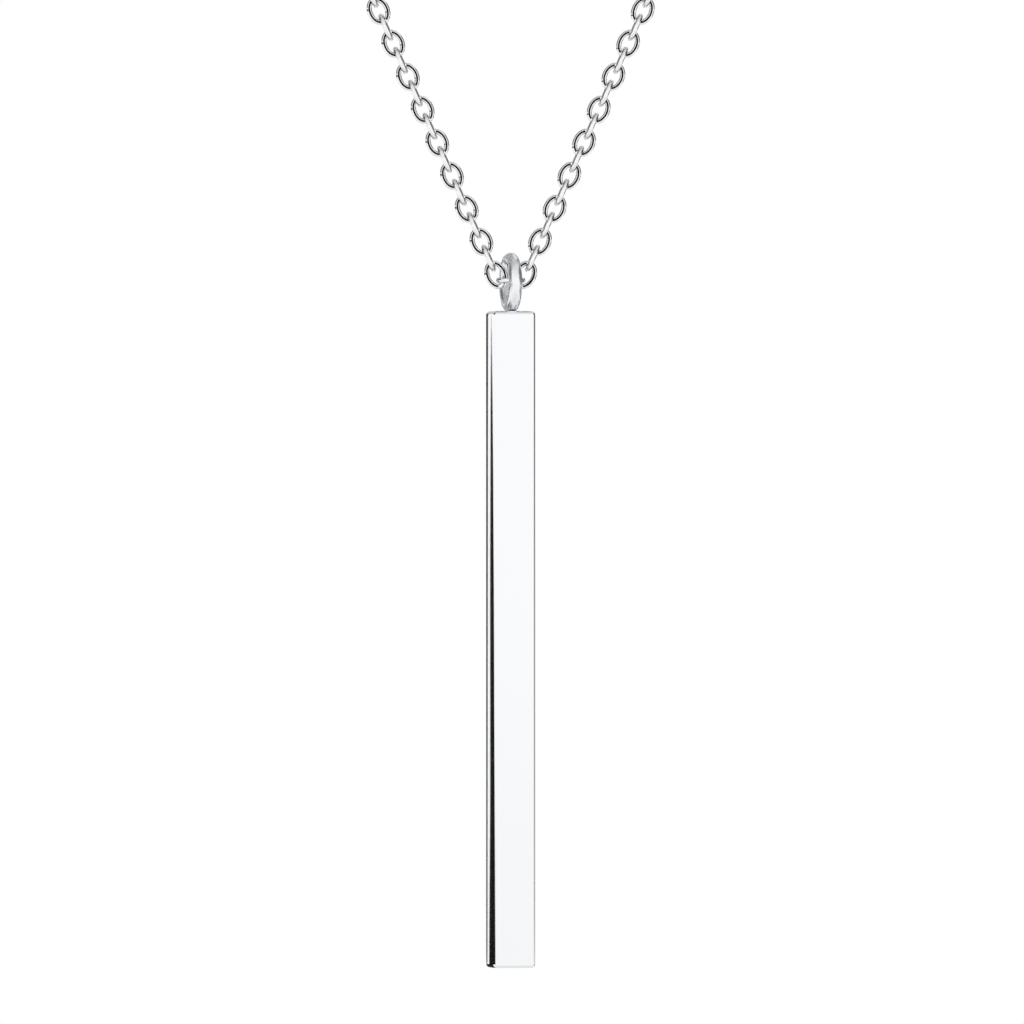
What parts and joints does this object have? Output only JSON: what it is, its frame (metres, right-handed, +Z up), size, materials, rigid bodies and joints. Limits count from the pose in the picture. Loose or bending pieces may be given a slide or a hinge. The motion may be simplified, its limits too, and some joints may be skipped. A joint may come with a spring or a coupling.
{
  "type": "bar pendant necklace",
  "caption": "Slim square bar pendant with a soldered ring, hanging from a fine cable chain that closes at the nape with a plain ring clasp.",
  "frame": {"origin": "middle of the clasp's line at the nape, where the necklace hangs", "axes": "+Z up, -Y towards the front of the wearer, +X to the right of someone who looks at the front"},
  "size_m": [0.108, 0.1115, 0.1639],
  "materials": {
    "bar_silver": "mirror polished silver",
    "chain_silver": "polished silver wire",
    "clasp_silver": "polished silver"
  },
  "bodies": {
    "chain": {"chain_links": "chain_silver", "chain_back": "chain_silver", "clasp": "clasp_silver", "end_ring": "clasp_silver"},
    "pendant": {"bar_pendant": "bar_silver"}
  },
  "joints": [
    {"name": "pendant_swing", "type": "hinge", "parent": "chain", "child": "pendant", "pos_m": [0, -0.1072, -0.12063], "axis": [0.9781, 0.2079, 0], "range_deg": [-70, 70]}
  ]
}
